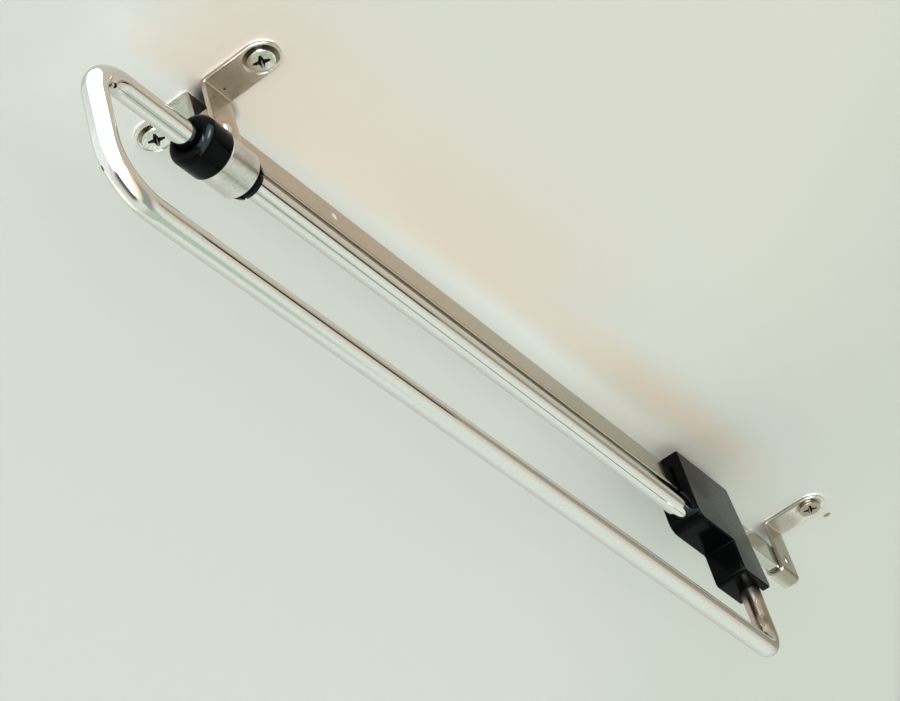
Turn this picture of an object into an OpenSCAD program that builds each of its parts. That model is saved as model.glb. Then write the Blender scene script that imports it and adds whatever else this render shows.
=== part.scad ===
// Pull-out clothes rail, screwed to the underside of a shelf.
// X runs across the rail, Y along it and Z up. The rail pulls out towards -Y.
// The origin is the centre of the four screw places, on the face that meets the shelf.

/* [Fixing] */
// Distance between the two screws of one bracket
screw_spacing_x = 38; // [34:0.5:48]
// Distance between the front screws and the rear screws
screw_spacing_y = 320; // [220:1:420]
// Width of the steel strip that the brackets are bent from
strap_w = 12; // [11:0.5:16]
// Thickness of that strip
strap_t = 1.5; // [1:0.1:2]
// Rounding on the outside of a fold in the strip
fold_r = 2; // [1:0.1:2.4]
// Diameter of a screw's shank
screw_d = 4; // [3.5:0.1:4.5]
// Length of a screw from its head's face to its point
screw_len = 16; // [13:1:20]
// Diameter of a screw's head
screw_head_d = 8; // [7:0.1:8.6]
// How far a screw's head stands proud of the strip
head_proud = 1.1; // [0.6:0.1:1.3]
// Diameter of the screw hole where it meets the shelf
screw_hole_d = 4.6; // [4.6:0.1:5.2]
// Diameter of the screw hole's countersink at the strip's face
countersink_d = 10.4; // [8.7:0.1:10.8]

/* [Track] */
// Thickness of the flat bar that the slider runs on
bar_t = 4; // [3:0.5:5]
// Height of the flat bar
bar_h = 10; // [8:0.5:12]
// Distance from the shelf down to the bar's upper edge
bar_drop = 11; // [10:0.5:13]
// How far the bar's ends stand back from the brackets' outer edges
bar_setback = 0.3; // [0.3:0.1:2]
// Rounding of the bar's long edges
bar_edge_r = 0.6; // [0.2:0.1:1]
// Distance from the front screws back to the pip that holds the rail open
pip_back = 50; // [46:0.5:70]
// Diameter of the pip
pip_d = 1.6; // [1:0.1:2.4]
// Height of the pip above the bar's face
pip_h = 0.22; // [0.1:0.02:0.26]
// Diameter of a rivet's shank
rivet_d = 2.4; // [2:0.1:3]
// Diameter of a rivet's head
rivet_head_d = 3.4; // [3.2:0.1:5]
// Height of a rivet's head
rivet_head_h = 0.7; // [0.4:0.1:1.2]

/* [Rod loop] */
// Diameter of the bent rod
rod_d = 7; // [6:0.1:7.6]
// Distance from the shelf down to the upper rod's axis
rod_drop = 28; // [27.5:0.5:32]
// Distance between the axes of the upper rod and the hanging bar
loop_depth = 44.5; // [38:0.5:70]
// Distance from the slider's rear edge to the rear bracket when closed
rear_room = 30.7; // [2:0.1:60]
// How far the front leg stands ahead of the front screws when closed
front_reach = 55; // [40:1:65]
// Bend radius of the rod's axis at the top of the front leg
top_bend_r = 13; // [7:0.5:15]
// Bend radius of the rod's axis at the foot of the front leg
front_bend_r = 15; // [8:0.5:20]
// Bend radius of the rod's axis at the foot of the rear leg
rear_bend_r = 7.5; // [6:0.5:12]

/* [Bush] */
// Diameter of the bush's head
bush_head_d = 15.5; // [14.5:0.1:18]
// Length of the bush's head
bush_head_len = 9.5; // [6:0.5:12]
// Rounding of the head's front edge
bush_round = 2.2; // [0.6:0.1:2.6]
// Bevel at the mouth of the bush's bore
bush_mouth = 1.3; // [0.3:0.1:1.6]
// Outside diameter of the bush's body, inside the bracket's ring
bush_body_d = 11; // [10.8:0.1:12]
// How far the snap tabs reach past the ring
tab_len = 3.7; // [1.5:0.1:4.2]
// Height of the snap tabs' lip above the ring's bore
tab_lip = 0.5; // [0.3:0.1:1.8]
// Width of the slits between the snap tabs
tab_slit = 1; // [0.8:0.1:2.4]
// Number of snap tabs
tab_count = 4; // [4:1:6]
// Turn of the slits from straight above the rod, in degrees
tab_turn = 20; // [0:5:45]

/* [Slider] */
// Width of the slider
slider_w = 12; // [11:0.5:15]
// Length of the slider's upper block along its top
slider_len = 35.5; // [30:0.5:50]
// Distance from the shelf down to the slider's top
slider_top = 5.5; // [3:0.5:6.5]
// Wall under the slider's rod socket
slider_wall = 2.5; // [2:0.1:4]
// Distance from the slider's front to the lower block's front
step_back = 22.5; // [20:0.5:26]
// Height of the slider's lower block under the upper one
foot_h = 13; // [10:0.5:18]
// How far the slider's rear edge slopes back from top to bottom
rear_slope = 5.5; // [1:0.5:8]
// Wall behind the rear leg's socket
foot_wall = 1.8; // [1.4:0.1:3]
// Rounding of the slider's front lower edge
nose_r = 4; // [1:0.5:6]
// Depth of the socket that holds the upper rod
rod_socket = 20; // [14:1:22]
// Depth of the socket that holds the rear leg
leg_socket = 10; // [8:0.5:12]
// Width of the slot that opens this socket to the rear
leg_slot = 6.6; // [2:0.1:6.8]

/* [Clearances] */
// Radial gap between the rod and the bush that it slides in
running_gap = 0.08; // [0.02:0.01:0.1]
// Radial gap between the rod and the slider's sockets
socket_gap = 0.02; // [0:0.01:0.05]
// Gap between the bar and the slider on each side
slide_gap = 0.35; // [0.3:0.05:0.45]
// Gap between the bar and each bracket web
bar_gap = 0.02; // [0:0.01:0.1]
// Radial gap between the bush's body and the ring
bush_gap = 0.1; // [0.02:0.01:0.2]
// Gap between the snap tabs and the bar above them
tab_room = 0.3; // [0.2:0.05:0.6]
// Gap between the slider and the bush when the rail is fully out
stop_gap = 0.5; // [0.3:0.1:2]

/* [Hidden] */
$fn = 96;

steel = [0.72, 0.69, 0.63];
bright = [0.82, 0.82, 0.80];
black = [0.06, 0.06, 0.06];

// Small overlap that keeps cuts clean, and how far a long cut runs past a face
eps = 0.05;
over = 1;

// Details of the screws
screw_turn = 25;
head_rim = 0.55;
countersink_land = 0.2;
core_r = 0.35 * screw_d;
thread_pitch = 1.6;
plain_len = 0.55 * screw_len;
point_len = 2.6;
recess_w = 0.6 * screw_head_d;
recess_slot = 0.9;
recess_depth = 2;

// Details of the bush
tab_cone = 0.1;
slit_depth = 3;

// Small roundings of the slider: its front upper edge, and the lower edges of its foot
slider_edge_r = 1;
foot_edge_r = 1.5;
heel_r = 2;

// Places along the rail
front_y = -screw_spacing_y / 2;
rear_y = screw_spacing_y / 2;
bar_front = front_y - strap_w / 2 + bar_setback;
bar_rear = rear_y + strap_w / 2 - bar_setback;
bar_top = -bar_drop;
bar_bottom = bar_top - bar_h;
bar_mid = bar_top - bar_h / 2;

// Webs of the brackets, on both sides of the bar
web_in = bar_t / 2 + bar_gap;
web_out = web_in + strap_t;

// Ring of the front bracket, round the rod's axis
rod_r = rod_d / 2;
ring_in = bush_body_d / 2 + bush_gap;
ring_out = ring_in + strap_t;
rod_z = -rod_drop;
ring_mid = (ring_in + ring_out) / 2;
web_mid = (web_in + web_out) / 2;
ring_seat = rod_z + sqrt(ring_mid * ring_mid - web_mid * web_mid);
neck_r = 3;
neck_x = web_out + neck_r;
neck_z = rod_z + sqrt(pow(ring_out + neck_r, 2) - neck_x * neck_x);

// Rod loop, closed
leg_front_y = front_y - front_reach;
hang_z = rod_z - loop_depth;

// Slider, closed: its rear wall stands behind the rear leg
slider_bottom = rod_z - rod_r - slider_wall;
foot_bottom = slider_bottom - foot_h;
foot_rear = rear_y - strap_w / 2 - rear_room;
leg_rear_y = foot_rear - foot_wall - rod_r;
slider_rear = foot_rear - rear_slope;
slider_front = slider_rear - slider_len;
rod_end_y = slider_front + rod_socket;
leg_end_z = foot_bottom + leg_socket;

// Way of the slider from closed to the bush
tab_rear = front_y + strap_w / 2 + tab_len;
travel = slider_front - tab_rear - stop_gap;

// A plate of the strip's width across X, drawn as an outline in X and Z
module across(width) rotate([90, 0, 0]) linear_extrude(height = width, center = true) children();

// An outline drawn in Y and Z, given a width along X
module sideways(width) rotate([90, 0, 90]) linear_extrude(height = width, center = true) children();

// The corner that a rounding of radius r takes away, at the origin of the first quadrant
module corner_cut(r) {
    difference() {
        translate([-eps, -eps]) square(r + eps);
        translate([r, r]) circle(r);
    }
}

// A web, given as an outline in X and Z on the +X side, with its wing folded outwards
module wing_on_web() {
    wing_end = screw_spacing_x / 2 + strap_w / 2;
    difference() {
        union() {
            children();
            translate([web_in, -strap_t]) square([wing_end - web_in, strap_t]);
            translate([web_out + fold_r - strap_t, -fold_r]) rotate(90) inside_fillet(fold_r - strap_t);
        }
        translate([web_in, 0]) mirror([0, 1]) corner_cut(fold_r);
    }
}

// A small fillet in an inside corner, filling the second quadrant's corner
module inside_fillet(r) {
    if (r > 0)
        difference() {
            square(r + eps);
            circle(r);
        }
}

// Plan of a bracket: a strip with round ends
module strap_plan() {
    square([screw_spacing_x, strap_w], center = true);
    for (side = [-1, 1]) translate([side * screw_spacing_x / 2, 0]) circle(d = strap_w);
}

// Cuts the two screw holes and their countersinks
module screw_holes() {
    for (side = [-1, 1]) translate([side * screw_spacing_x / 2, 0, 0]) {
        translate([0, 0, -strap_t - eps]) cylinder(d = screw_hole_d, h = strap_t + 2 * eps);
        translate([0, 0, -strap_t - eps])
            cylinder(d1 = countersink_d, d2 = screw_hole_d, h = strap_t - countersink_land);
    }
}

// Outline shared by both brackets, bent from one strip
module bracket(y) {
    translate([0, y, 0]) difference() {
        intersection() {
            across(strap_w) children();
            translate([0, 0, hang_z]) linear_extrude(height = -hang_z + eps) strap_plan();
        }
        screw_holes();
        rivet_hole();
    }
}

module rivet_hole() translate([0, 0, bar_mid]) rotate([0, 90, 0])
    cylinder(d = rivet_d, h = 2 * (web_out + over), center = true);

module front_bracket() color(steel) bracket(front_y) {
    for (side = [0, 1]) mirror([side, 0]) wing_on_web() polygon(ring_web());
    difference() {
        translate([0, rod_z]) circle(ring_out);
        translate([0, rod_z]) circle(ring_in);
        translate([-web_in, rod_z]) square([2 * web_in, -rod_z]);
    }
}

// Outline of a web that ends in the ring's wall, with a concave rounding where they meet
function ring_web() =
    let (reach = ring_out + neck_r, meet = 360 - acos(-neck_x / reach), steps = 12,
        seat_x = ring_mid * neck_x / reach, seat_z = rod_z + ring_mid * (neck_z - rod_z) / reach)
    concat([[web_out, 0], [web_in, 0], [web_in, ring_seat], [seat_x, seat_z]],
        [for (n = [steps - 1:-1:0]) let (a = 180 + (meet - 180) * n / steps)
            [neck_x + neck_r * cos(a), neck_z + neck_r * sin(a)]]);

module rear_bracket() color(steel) bracket(rear_y) {
    wrap_z = bar_bottom - bar_gap - strap_t;
    for (side = [0, 1]) mirror([side, 0]) wing_on_web() difference() {
        union() {
            translate([web_in, wrap_z]) square([strap_t, -wrap_z]);
            translate([0, wrap_z]) square([web_out, strap_t]);
        }
        translate([web_out, wrap_z]) mirror([1, 0]) corner_cut(fold_r);
    }
}

module track_bar() color(steel) {
    difference() {
        translate([0, (bar_front + bar_rear) / 2, 0]) across(bar_rear - bar_front) bar_outline();
        for (y = [front_y, rear_y]) translate([0, y, 0]) rivet_hole();
    }
    // Pip on each side that the slider clicks over
    for (side = [-1, 1]) translate([side * bar_t / 2, front_y + pip_back, bar_mid])
        rotate([0, side * 90, 0]) cylinder(d1 = pip_d, d2 = pip_d / 2, h = pip_h);
}

module bar_outline() {
    difference() {
        translate([-bar_t / 2, bar_bottom]) square([bar_t, bar_h]);
        for (side = [0, 1]) mirror([side, 0]) {
            translate([-bar_t / 2, bar_bottom]) corner_cut(bar_edge_r);
            translate([-bar_t / 2, bar_top]) mirror([0, 1]) corner_cut(bar_edge_r);
        }
    }
}

// Rivets that hold the bar between each bracket's webs
module bracket_rivets() color(steel) {
    for (y = [front_y, rear_y]) translate([0, y, bar_mid]) rotate([0, 90, 0]) {
        cylinder(d = rivet_d, h = 2 * web_out, center = true);
        for (side = [0, 1]) mirror([0, 0, side]) translate([0, 0, web_out])
            cylinder(d1 = rivet_head_d, d2 = rivet_head_d / 2, h = rivet_head_h);
    }
}

// Bush: head, body through the ring, and snap tabs behind it
module front_bush() color(black) {
    bore = rod_r + running_gap;
    body = bush_body_d / 2;
    head = bush_head_d / 2;
    lip = ring_in + tab_lip;
    tab_flat = bar_bottom - tab_room - rod_z;
    translate([0, front_y - strap_w / 2, rod_z]) rotate([-90, 0, 0]) difference() {
        rotate_extrude() {
            difference() {
                translate([bore, -bush_head_len]) square([head - bore, bush_head_len]);
                translate([head, -bush_head_len]) mirror([1, 0]) corner_cut(bush_round);
                translate([bore, -bush_head_len]) polygon([[-eps, -eps], [bush_mouth + eps, -eps],
                    [-eps, bush_mouth + eps]]);
            }
            translate([bore, -eps]) square([body - bore, strap_w + tab_len + eps]);
            translate([bore, strap_w]) polygon([[0, tab_cone], [lip - bore, tab_cone],
                [lip - bore, tab_len / 2], [body - bore, tab_len], [0, tab_len]]);
        }
        for (n = [0:tab_count - 1]) rotate([0, 0, 90 + tab_turn + n * 360 / tab_count])
            translate([bore - over, -tab_slit / 2, strap_w - slit_depth])
                cube([head, tab_slit, slit_depth + tab_len + over]);
        // Flat on the tabs' lips, under the bar
        translate([-head, -tab_flat - head, strap_w + tab_cone]) cube([2 * head, head, tab_len + over]);
    }
}

// One countersunk screw, its head's face at z = 0 and its point at the top
module wood_screw() {
    cone_top = head_rim + (screw_head_d - screw_d) / 2;
    turns = floor((screw_len - point_len - plain_len) / thread_pitch);
    difference() {
        rotate_extrude() polygon(concat(
            [[0, 0], [screw_head_d / 2, 0], [screw_head_d / 2, head_rim], [screw_d / 2, cone_top],
                [screw_d / 2, plain_len]],
            [for (n = [0:turns - 1], side = [0, 1])
                [side == 0 ? core_r : screw_d / 2, plain_len + (n + 0.3 + 0.4 * side) * thread_pitch]],
            [[core_r, plain_len + turns * thread_pitch], [core_r, screw_len - point_len], [0, screw_len]]));
        for (turn = [0, 90]) rotate([0, 0, turn]) translate([-recess_w / 2, -recess_slot / 2, -eps])
            cube([recess_w, recess_slot, recess_depth + eps]);
    }
}

module fixing_screws() color(bright)
    for (x = [-1, 1] * screw_spacing_x / 2, y = [front_y, rear_y])
        translate([x, y, -strap_t - head_proud]) rotate([0, 0, screw_turn]) wood_screw();

// A quarter bend of the rod about the X axis, from the angle given
module rod_bend(y, z, radius, from) {
    translate([0, y, z]) rotate([0, 90, 0]) rotate([0, 0, from])
        rotate_extrude(angle = 90) translate([radius, 0]) circle(rod_r);
}

// The rod, bent into a loop with both its ends in the slider
module rod_loop() color(bright) {
    top_y = leg_front_y + top_bend_r;
    foot_y = leg_front_y + front_bend_r;
    back_y = leg_rear_y - rear_bend_r;
    translate([0, top_y, rod_z]) rotate([-90, 0, 0]) cylinder(r = rod_r, h = rod_end_y - top_y);
    rod_bend(top_y, rod_z - top_bend_r, top_bend_r, 180);
    translate([0, leg_front_y, hang_z + front_bend_r])
        cylinder(r = rod_r, h = loop_depth - top_bend_r - front_bend_r);
    rod_bend(foot_y, hang_z + front_bend_r, front_bend_r, 270);
    translate([0, foot_y, hang_z]) rotate([-90, 0, 0]) cylinder(r = rod_r, h = back_y - foot_y);
    rod_bend(back_y, hang_z + rear_bend_r, rear_bend_r, 0);
    translate([0, leg_rear_y, hang_z + rear_bend_r])
        cylinder(r = rod_r, h = leg_end_z - hang_z - rear_bend_r);
}

// Side outline of the slider, in Y and Z: an upper block with a foot under its rear end
module slider_outline() {
    foot_front = slider_front + step_back;
    difference() {
        polygon([[slider_front, -slider_top], [slider_front, slider_bottom], [foot_front, slider_bottom],
            [foot_front, foot_bottom], [foot_rear, foot_bottom], [slider_rear, -slider_top]]);
        translate([slider_front, slider_bottom]) corner_cut(nose_r);
        translate([slider_front, -slider_top]) mirror([0, 1]) corner_cut(slider_edge_r);
        translate([foot_front, foot_bottom]) corner_cut(foot_edge_r);
        translate([foot_rear, foot_bottom]) mirror([1, 0]) corner_cut(heel_r);
    }
}

module slider() color(black) {
    tunnel_w = bar_t + 2 * slide_gap;
    tunnel_h = bar_h + 2 * slide_gap;
    difference() {
        sideways(slider_w) slider_outline();
        // Tunnel for the flat bar
        translate([-tunnel_w / 2, slider_front - over, bar_mid - tunnel_h / 2])
            cube([tunnel_w, slider_len + rear_slope + 2 * over, tunnel_h]);
        // Sockets for the rod's two ends
        translate([0, slider_front - over, rod_z]) rotate([-90, 0, 0])
            cylinder(r = rod_r + socket_gap, h = rod_socket + over);
        translate([0, leg_rear_y, foot_bottom - over])
            cylinder(r = rod_r + socket_gap, h = leg_socket + over);
        translate([-leg_slot / 2, leg_rear_y, foot_bottom - over])
            cube([leg_slot, foot_rear - leg_rear_y + over, leg_socket + over]);
    }
}

track_bar();
front_bracket();
rear_bracket();
bracket_rivets();
front_bush();
fixing_screws();
rod_loop();
slider();
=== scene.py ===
"""Pull-out clothes rail: a bent rod loop that slides on a flat bar under a shelf, in steel and plastic."""

import math

import bmesh
import bpy
import numpy as np
from bpy.props import FloatProperty, FloatVectorProperty, PointerProperty
from bpy.types import Operator, Panel, PropertyGroup
from mathutils import Matrix


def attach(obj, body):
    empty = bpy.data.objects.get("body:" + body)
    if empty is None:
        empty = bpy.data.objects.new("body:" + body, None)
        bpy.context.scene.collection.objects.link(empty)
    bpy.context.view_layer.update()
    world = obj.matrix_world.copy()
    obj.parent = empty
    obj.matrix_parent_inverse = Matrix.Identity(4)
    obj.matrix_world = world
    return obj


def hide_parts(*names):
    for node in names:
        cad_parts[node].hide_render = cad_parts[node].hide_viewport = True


bl_info = {
    "name": "Pull-out clothes rail",
    "version": (1, 0, 0),
    "blender": (4, 5, 0),
    "location": "3D View > Sidebar > Clothes rail",
    "description": "Builds a pull-out clothes rail in plated steel and black plastic, under its shelf",
    "category": "Object",
}

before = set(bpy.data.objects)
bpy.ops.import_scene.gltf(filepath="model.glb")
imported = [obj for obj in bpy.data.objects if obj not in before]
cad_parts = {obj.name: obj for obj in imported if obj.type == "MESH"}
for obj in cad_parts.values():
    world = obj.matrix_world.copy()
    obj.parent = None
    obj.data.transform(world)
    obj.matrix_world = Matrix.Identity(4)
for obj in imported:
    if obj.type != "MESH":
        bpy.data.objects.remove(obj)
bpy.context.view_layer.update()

MM = 0.001

# Millimetres: points closer than this are one point, and pressed parts stand this far off each other
WELD = 1e-4
PRESS_GAP = 0.02

# Degrees: faces that meet at more than this have a sharp edge between them
SMOOTH_ANGLE = 35

# Millimetres: how deep the upper rod and the rear leg sit in the slider
ROD_SOCKET = 20
LEG_SOCKET = 10


# Sizes and colours that a user would change

class RailSizes(PropertyGroup):
    """Sizes of the rail, in metres"""

    rod_d: FloatProperty(name="Rod", description="Diameter of the bent rod", default=0.007, unit="LENGTH")
    rod_drop: FloatProperty(name="Rod drop", description="From the shelf down to the upper rod's axis",
                            default=0.028, unit="LENGTH")
    loop_depth: FloatProperty(name="Loop depth", default=0.0445, unit="LENGTH",
                              description="Between the axes of the upper rod and the hanging bar")
    rod_front: FloatProperty(name="Front leg", description="Place of the front leg's axis along the rail",
                             default=-0.215, unit="LENGTH")
    rod_rear: FloatProperty(name="Rear leg", description="Place of the rear leg's axis along the rail",
                            default=0.118, unit="LENGTH")
    top_bend: FloatProperty(name="Upper front bend", default=0.013, unit="LENGTH",
                            description="Radius of the rod's axis in its upper front bend")
    front_bend: FloatProperty(name="Lower front bend", default=0.015, unit="LENGTH",
                              description="Radius of the rod's axis in its lower front bend")
    rear_bend: FloatProperty(name="Rear bend", description="Radius of the rod's axis in its rear bend",
                             default=0.0075, unit="LENGTH")
    front_y: FloatProperty(name="Front screws", description="Place of the front screws along the rail",
                           default=-0.16, unit="LENGTH")
    rear_y: FloatProperty(name="Rear screws", description="Place of the rear screws along the rail",
                          default=0.16, unit="LENGTH")
    screw_x: FloatProperty(name="Screws apart", description="Between the two screws of a bracket",
                           default=0.038, unit="LENGTH")
    strap_w: FloatProperty(name="Strip width", description="Width of the brackets' steel strip",
                           default=0.012, unit="LENGTH")
    strap_t: FloatProperty(name="Strip thickness", description="Thickness of the brackets' steel strip",
                           default=0.0015, unit="LENGTH")
    bar_t: FloatProperty(name="Bar thickness", description="Thickness of the flat bar",
                         default=0.004, unit="LENGTH")
    bar_h: FloatProperty(name="Bar height", description="Height of the flat bar",
                         default=0.010, unit="LENGTH")
    bar_drop: FloatProperty(name="Bar drop", description="From the shelf down to the flat bar's upper edge",
                            default=0.011, unit="LENGTH")
    slider_front: FloatProperty(name="Slider front", description="Place of the slider's front face",
                                default=0.0823, unit="LENGTH")
    slider_w: FloatProperty(name="Slider width", description="Width of the slider",
                            default=0.012, unit="LENGTH")
    slider_drop: FloatProperty(name="Slider drop", description="From the shelf down to the slider's foot",
                               default=0.047, unit="LENGTH")


class RailFinish(PropertyGroup):
    """Colours of the rail and its shelf"""

    nickel: FloatVectorProperty(name="Plating", description="Colour of the nickel plating", subtype="COLOR",
                                default=(0.70, 0.655, 0.61), min=0, max=1)
    strip: FloatVectorProperty(name="Strip", description="Colour of the brackets' steel", subtype="COLOR",
                               default=(0.74, 0.68, 0.62), min=0, max=1)
    bar: FloatVectorProperty(name="Bar", description="Colour of the flat bar", subtype="COLOR",
                             default=(0.523, 0.44, 0.367), min=0, max=1)
    zinc: FloatVectorProperty(name="Screws", description="Colour of the screws", subtype="COLOR",
                              default=(0.78, 0.74, 0.68), min=0, max=1)
    plastic: FloatVectorProperty(name="Plastic", description="Colour of the black plastic", subtype="COLOR",
                                 default=(0.0015, 0.0018, 0.0017), min=0, max=1)
    shelf: FloatVectorProperty(name="Shelf", description="Colour of the shelf's underside", subtype="COLOR",
                               default=(0.71, 0.692, 0.648), min=0, max=1)
    shelf_right: FloatVectorProperty(name="Shelf, right side", subtype="COLOR",
                                     description="Colour of the shelf far to the right",
                                     default=(0.717, 0.678, 0.613), min=0, max=1)
    shelf_rear: FloatVectorProperty(name="Shelf, rear", description="Colour of the shelf's rear",
                                    subtype="COLOR", default=(0.64, 0.635, 0.575), min=0, max=1)
    # Painted warm light on the shelf right of the rail
    shelf_warm: FloatVectorProperty(name="Shelf, warm side", subtype="COLOR",
                                    description="Colour of the shelf right of the rail",
                                    default=(0.76, 0.66, 0.565), min=0, max=1)


def sizes():
    """The sizes in millimetres, by name, to a tenth of a micron."""
    group = bpy.context.scene.rail_sizes
    return {name: round(getattr(group, name) / MM, 4) for name in RailSizes.__annotations__}


# Surfaces on grids, put together into closed skins

class Skin:
    """Collects patches of points in millimetres with their faces, and makes one closed mesh of them."""

    def __init__(self):
        self.points = []
        self.faces = []
        self.count = 0

    def patch(self, points, faces):
        """Adds loose points and the faces between them."""
        points = np.asarray(points, float).reshape(-1, 3)
        self.points.append(points)
        self.faces.extend((np.asarray(faces) + self.count).tolist())
        self.count += len(points)

    def grid(self, p, wrap_rows=False, wrap_cols=False):
        """Adds a surface given as rows of points: each face joins a point, the next one in its row and the
        two of the row after. Wrapping joins the last row or column to the first."""
        rows, cols = p.shape[:2]
        index = np.arange(rows * cols).reshape(rows, cols)
        if wrap_rows:
            index = np.vstack([index, index[:1]])
        if wrap_cols:
            index = np.hstack([index, index[:, :1]])
        quads = np.stack([index[:-1, :-1], index[:-1, 1:], index[1:, 1:], index[1:, :-1]], axis=-1)
        self.patch(p, quads.reshape(-1, 4))

    def cap(self, loop):
        """Adds one flat face inside a closed loop of points."""
        self.patch(loop, [list(range(len(loop)))])

    def tube(self, rings):
        """Adds rings of points joined in order, with a flat face in the first and the last."""
        self.grid(rings, wrap_cols=True)
        self.cap(rings[0])
        self.cap(rings[-1])

    def mesh(self, name, smooth):
        """Makes the mesh in metres: doubles merged, faces turned outwards, edges over the angle sharp."""
        mesh = bpy.data.meshes.new(name)
        mesh.from_pydata((np.vstack(self.points) * MM), [], self.faces)
        bm = bmesh.new()
        bm.from_mesh(mesh)
        bmesh.ops.remove_doubles(bm, verts=bm.verts, dist=WELD * MM)
        bmesh.ops.dissolve_degenerate(bm, edges=bm.edges, dist=WELD * MM / 2)
        bmesh.ops.recalc_face_normals(bm, faces=bm.faces)
        bm.to_mesh(mesh)
        bm.free()
        finish_shading(mesh, smooth)
        return mesh

    def object(self, name, smooth=SMOOTH_ANGLE):
        """Makes the mesh and its object."""
        piece = bpy.data.objects.new(name, self.mesh(name, smooth))
        bpy.context.scene.collection.objects.link(piece)
        return piece


def finish_shading(mesh, smooth):
    """Smooth faces, with a sharp edge wherever two faces meet at more than the angle in degrees."""
    mesh.polygons.foreach_set("use_smooth", np.ones(len(mesh.polygons), bool))
    mesh.set_sharp_from_angle(angle=math.radians(smooth))
    mesh.update()


def arc(centre, radius, start, end, count):
    """Points and directions along an arc: centre plus radius times (cos, sin) of an angle from start to end
    in degrees, with the direction a quarter turn on."""
    a = np.radians(np.linspace(start, end, count))
    turn = 1 if end > start else -1
    points = np.stack([centre[0] + radius * np.cos(a), centre[1] + radius * np.sin(a)], axis=-1)
    return points, turn * np.stack([-np.sin(a), np.cos(a)], axis=-1)


def straight(start, end, count):
    """Points and directions along a straight line."""
    start, end = np.array(start, float), np.array(end, float)
    points = start + np.linspace(0, 1, count)[:, None] * (end - start)
    return points, np.tile((end - start) / np.linalg.norm(end - start), (count, 1))


def joined(*parts):
    """Joins pieces of a path, leaving out the point that each shares with the one before."""
    points = np.vstack([parts[0][0]] + [p[0][1:] for p in parts[1:]])
    ways = np.vstack([parts[0][1]] + [p[1][1:] for p in parts[1:]])
    return points, ways


def rounded(corners, radii, closed=True, turn_steps=8, line_step=None):
    """A path through corners, each rounded to its radius: the arc touches both sides at the distance radius
    times the tangent of half the turn. Gives points and directions. Counter-clockwise corners give an outline
    whose outward normal is the direction turned a quarter to the right."""
    corners = np.array(corners, float)
    total = len(corners)
    points, ways = [], []
    for n in range(total):
        here, before, after = corners[n], corners[n - 1], corners[(n + 1) % total]
        if not closed and n in (0, total - 1):
            way = (after - here) if n == 0 else (here - before)
            points.append(here[None])
            ways.append((way / np.linalg.norm(way))[None])
            continue
        come = (here - before) / np.linalg.norm(here - before)
        go = (after - here) / np.linalg.norm(after - here)
        cross = come[0] * go[1] - come[1] * go[0]
        angle = math.atan2(cross, float(come @ go))
        radius = max(radii[n], 1e-3)
        reach = radius * math.tan(abs(angle) / 2)
        side = math.copysign(1, angle) * np.array([-come[1], come[0]])
        centre = here - come * reach + side * radius
        first = math.degrees(math.atan2(-side[1], -side[0]))
        p, w = arc(centre, radius, first, first + math.degrees(angle), turn_steps + 1)
        points.append(p)
        ways.append(w)
    if line_step is None:
        return np.vstack(points), np.vstack(ways)
    whole, whole_ways = [points[0]], [ways[0]]
    for n in range(1, total):
        a, b = points[n - 1][-1], points[n][0]
        steps = max(int(np.linalg.norm(b - a) / line_step), 1)
        between = straight(a, b, steps + 1)
        whole += [between[0][1:-1], points[n]]
        whole_ways += [between[1][1:-1], ways[n]]
    return np.vstack(whole), np.vstack(whole_ways)


def outward(ways):
    """The outward normals of a counter-clockwise outline, from its directions."""
    return np.stack([ways[:, 1], -ways[:, 0]], axis=-1)


def lathe(profile, sides):
    """A profile of (radius, height) turned about the Z axis: x and y are the radius times the cosine and sine
    of the turn, and z is the height. Rows follow the profile, columns the turn."""
    profile = np.asarray(profile, float)
    a = 2 * np.pi * np.arange(sides) / sides
    r, z = profile[:, 0][:, None], profile[:, 1][:, None]
    return np.stack(np.broadcast_arrays(r * np.cos(a), r * np.sin(a), z), axis=-1)


def along_y(p, z):
    """Turns points made about the Z axis so that this axis lies along Y, through x = 0 and the height z."""
    return np.stack([p[..., 0], p[..., 2], z - p[..., 1]], axis=-1)


def along_x(p, y, z):
    """Turns points made about the Z axis so that this axis lies along X, through the place (y, z)."""
    return np.stack([p[..., 2], p[..., 0] + y, p[..., 1] + z], axis=-1)


def cut(piece, *cutters):
    """Takes closed skins away from a piece, and keeps the result as the piece's mesh. The cut faces get the
    piece's second material."""
    piece.data.materials.append(None)
    piece.data.materials.append(None)
    for n, skin in enumerate(cutters):
        tool = skin.object(f"{piece.name}_cutter_{n}")
        tool.data.materials.append(None)
        tool.data.materials.append(None)
        tool.data.polygons.foreach_set("material_index", np.ones(len(tool.data.polygons), int))
        modifier = piece.modifiers.new("Cut", "BOOLEAN")
        modifier.operation = "DIFFERENCE"
        modifier.solver = "EXACT"
        modifier.object = tool
    depsgraph = bpy.context.evaluated_depsgraph_get()
    mesh = bpy.data.meshes.new_from_object(piece.evaluated_get(depsgraph))
    if not len(mesh.polygons):
        raise RuntimeError(f"cutting {piece.name} left nothing")
    tools = [m.object for m in piece.modifiers]
    piece.modifiers.clear()
    old = piece.data
    piece.data = mesh
    bpy.data.meshes.remove(old)
    mesh.name = piece.name
    for tool in tools:
        shape = tool.data
        bpy.data.objects.remove(tool)
        bpy.data.meshes.remove(shape)
    finish_shading(mesh, SMOOTH_ANGLE)
    return piece


def settle(piece, body, name, *makers):
    """Gives a piece its materials and its moving body, and lets it stand for the CAD node of that name."""
    index = np.empty(len(piece.data.polygons), int)
    piece.data.polygons.foreach_get("material_index", index)
    piece.data.materials.clear()
    for maker in makers:
        piece.data.materials.append(shared(maker))
    piece.data.polygons.foreach_set("material_index", index)
    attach(piece, body)
    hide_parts(name)


# Materials

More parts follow.
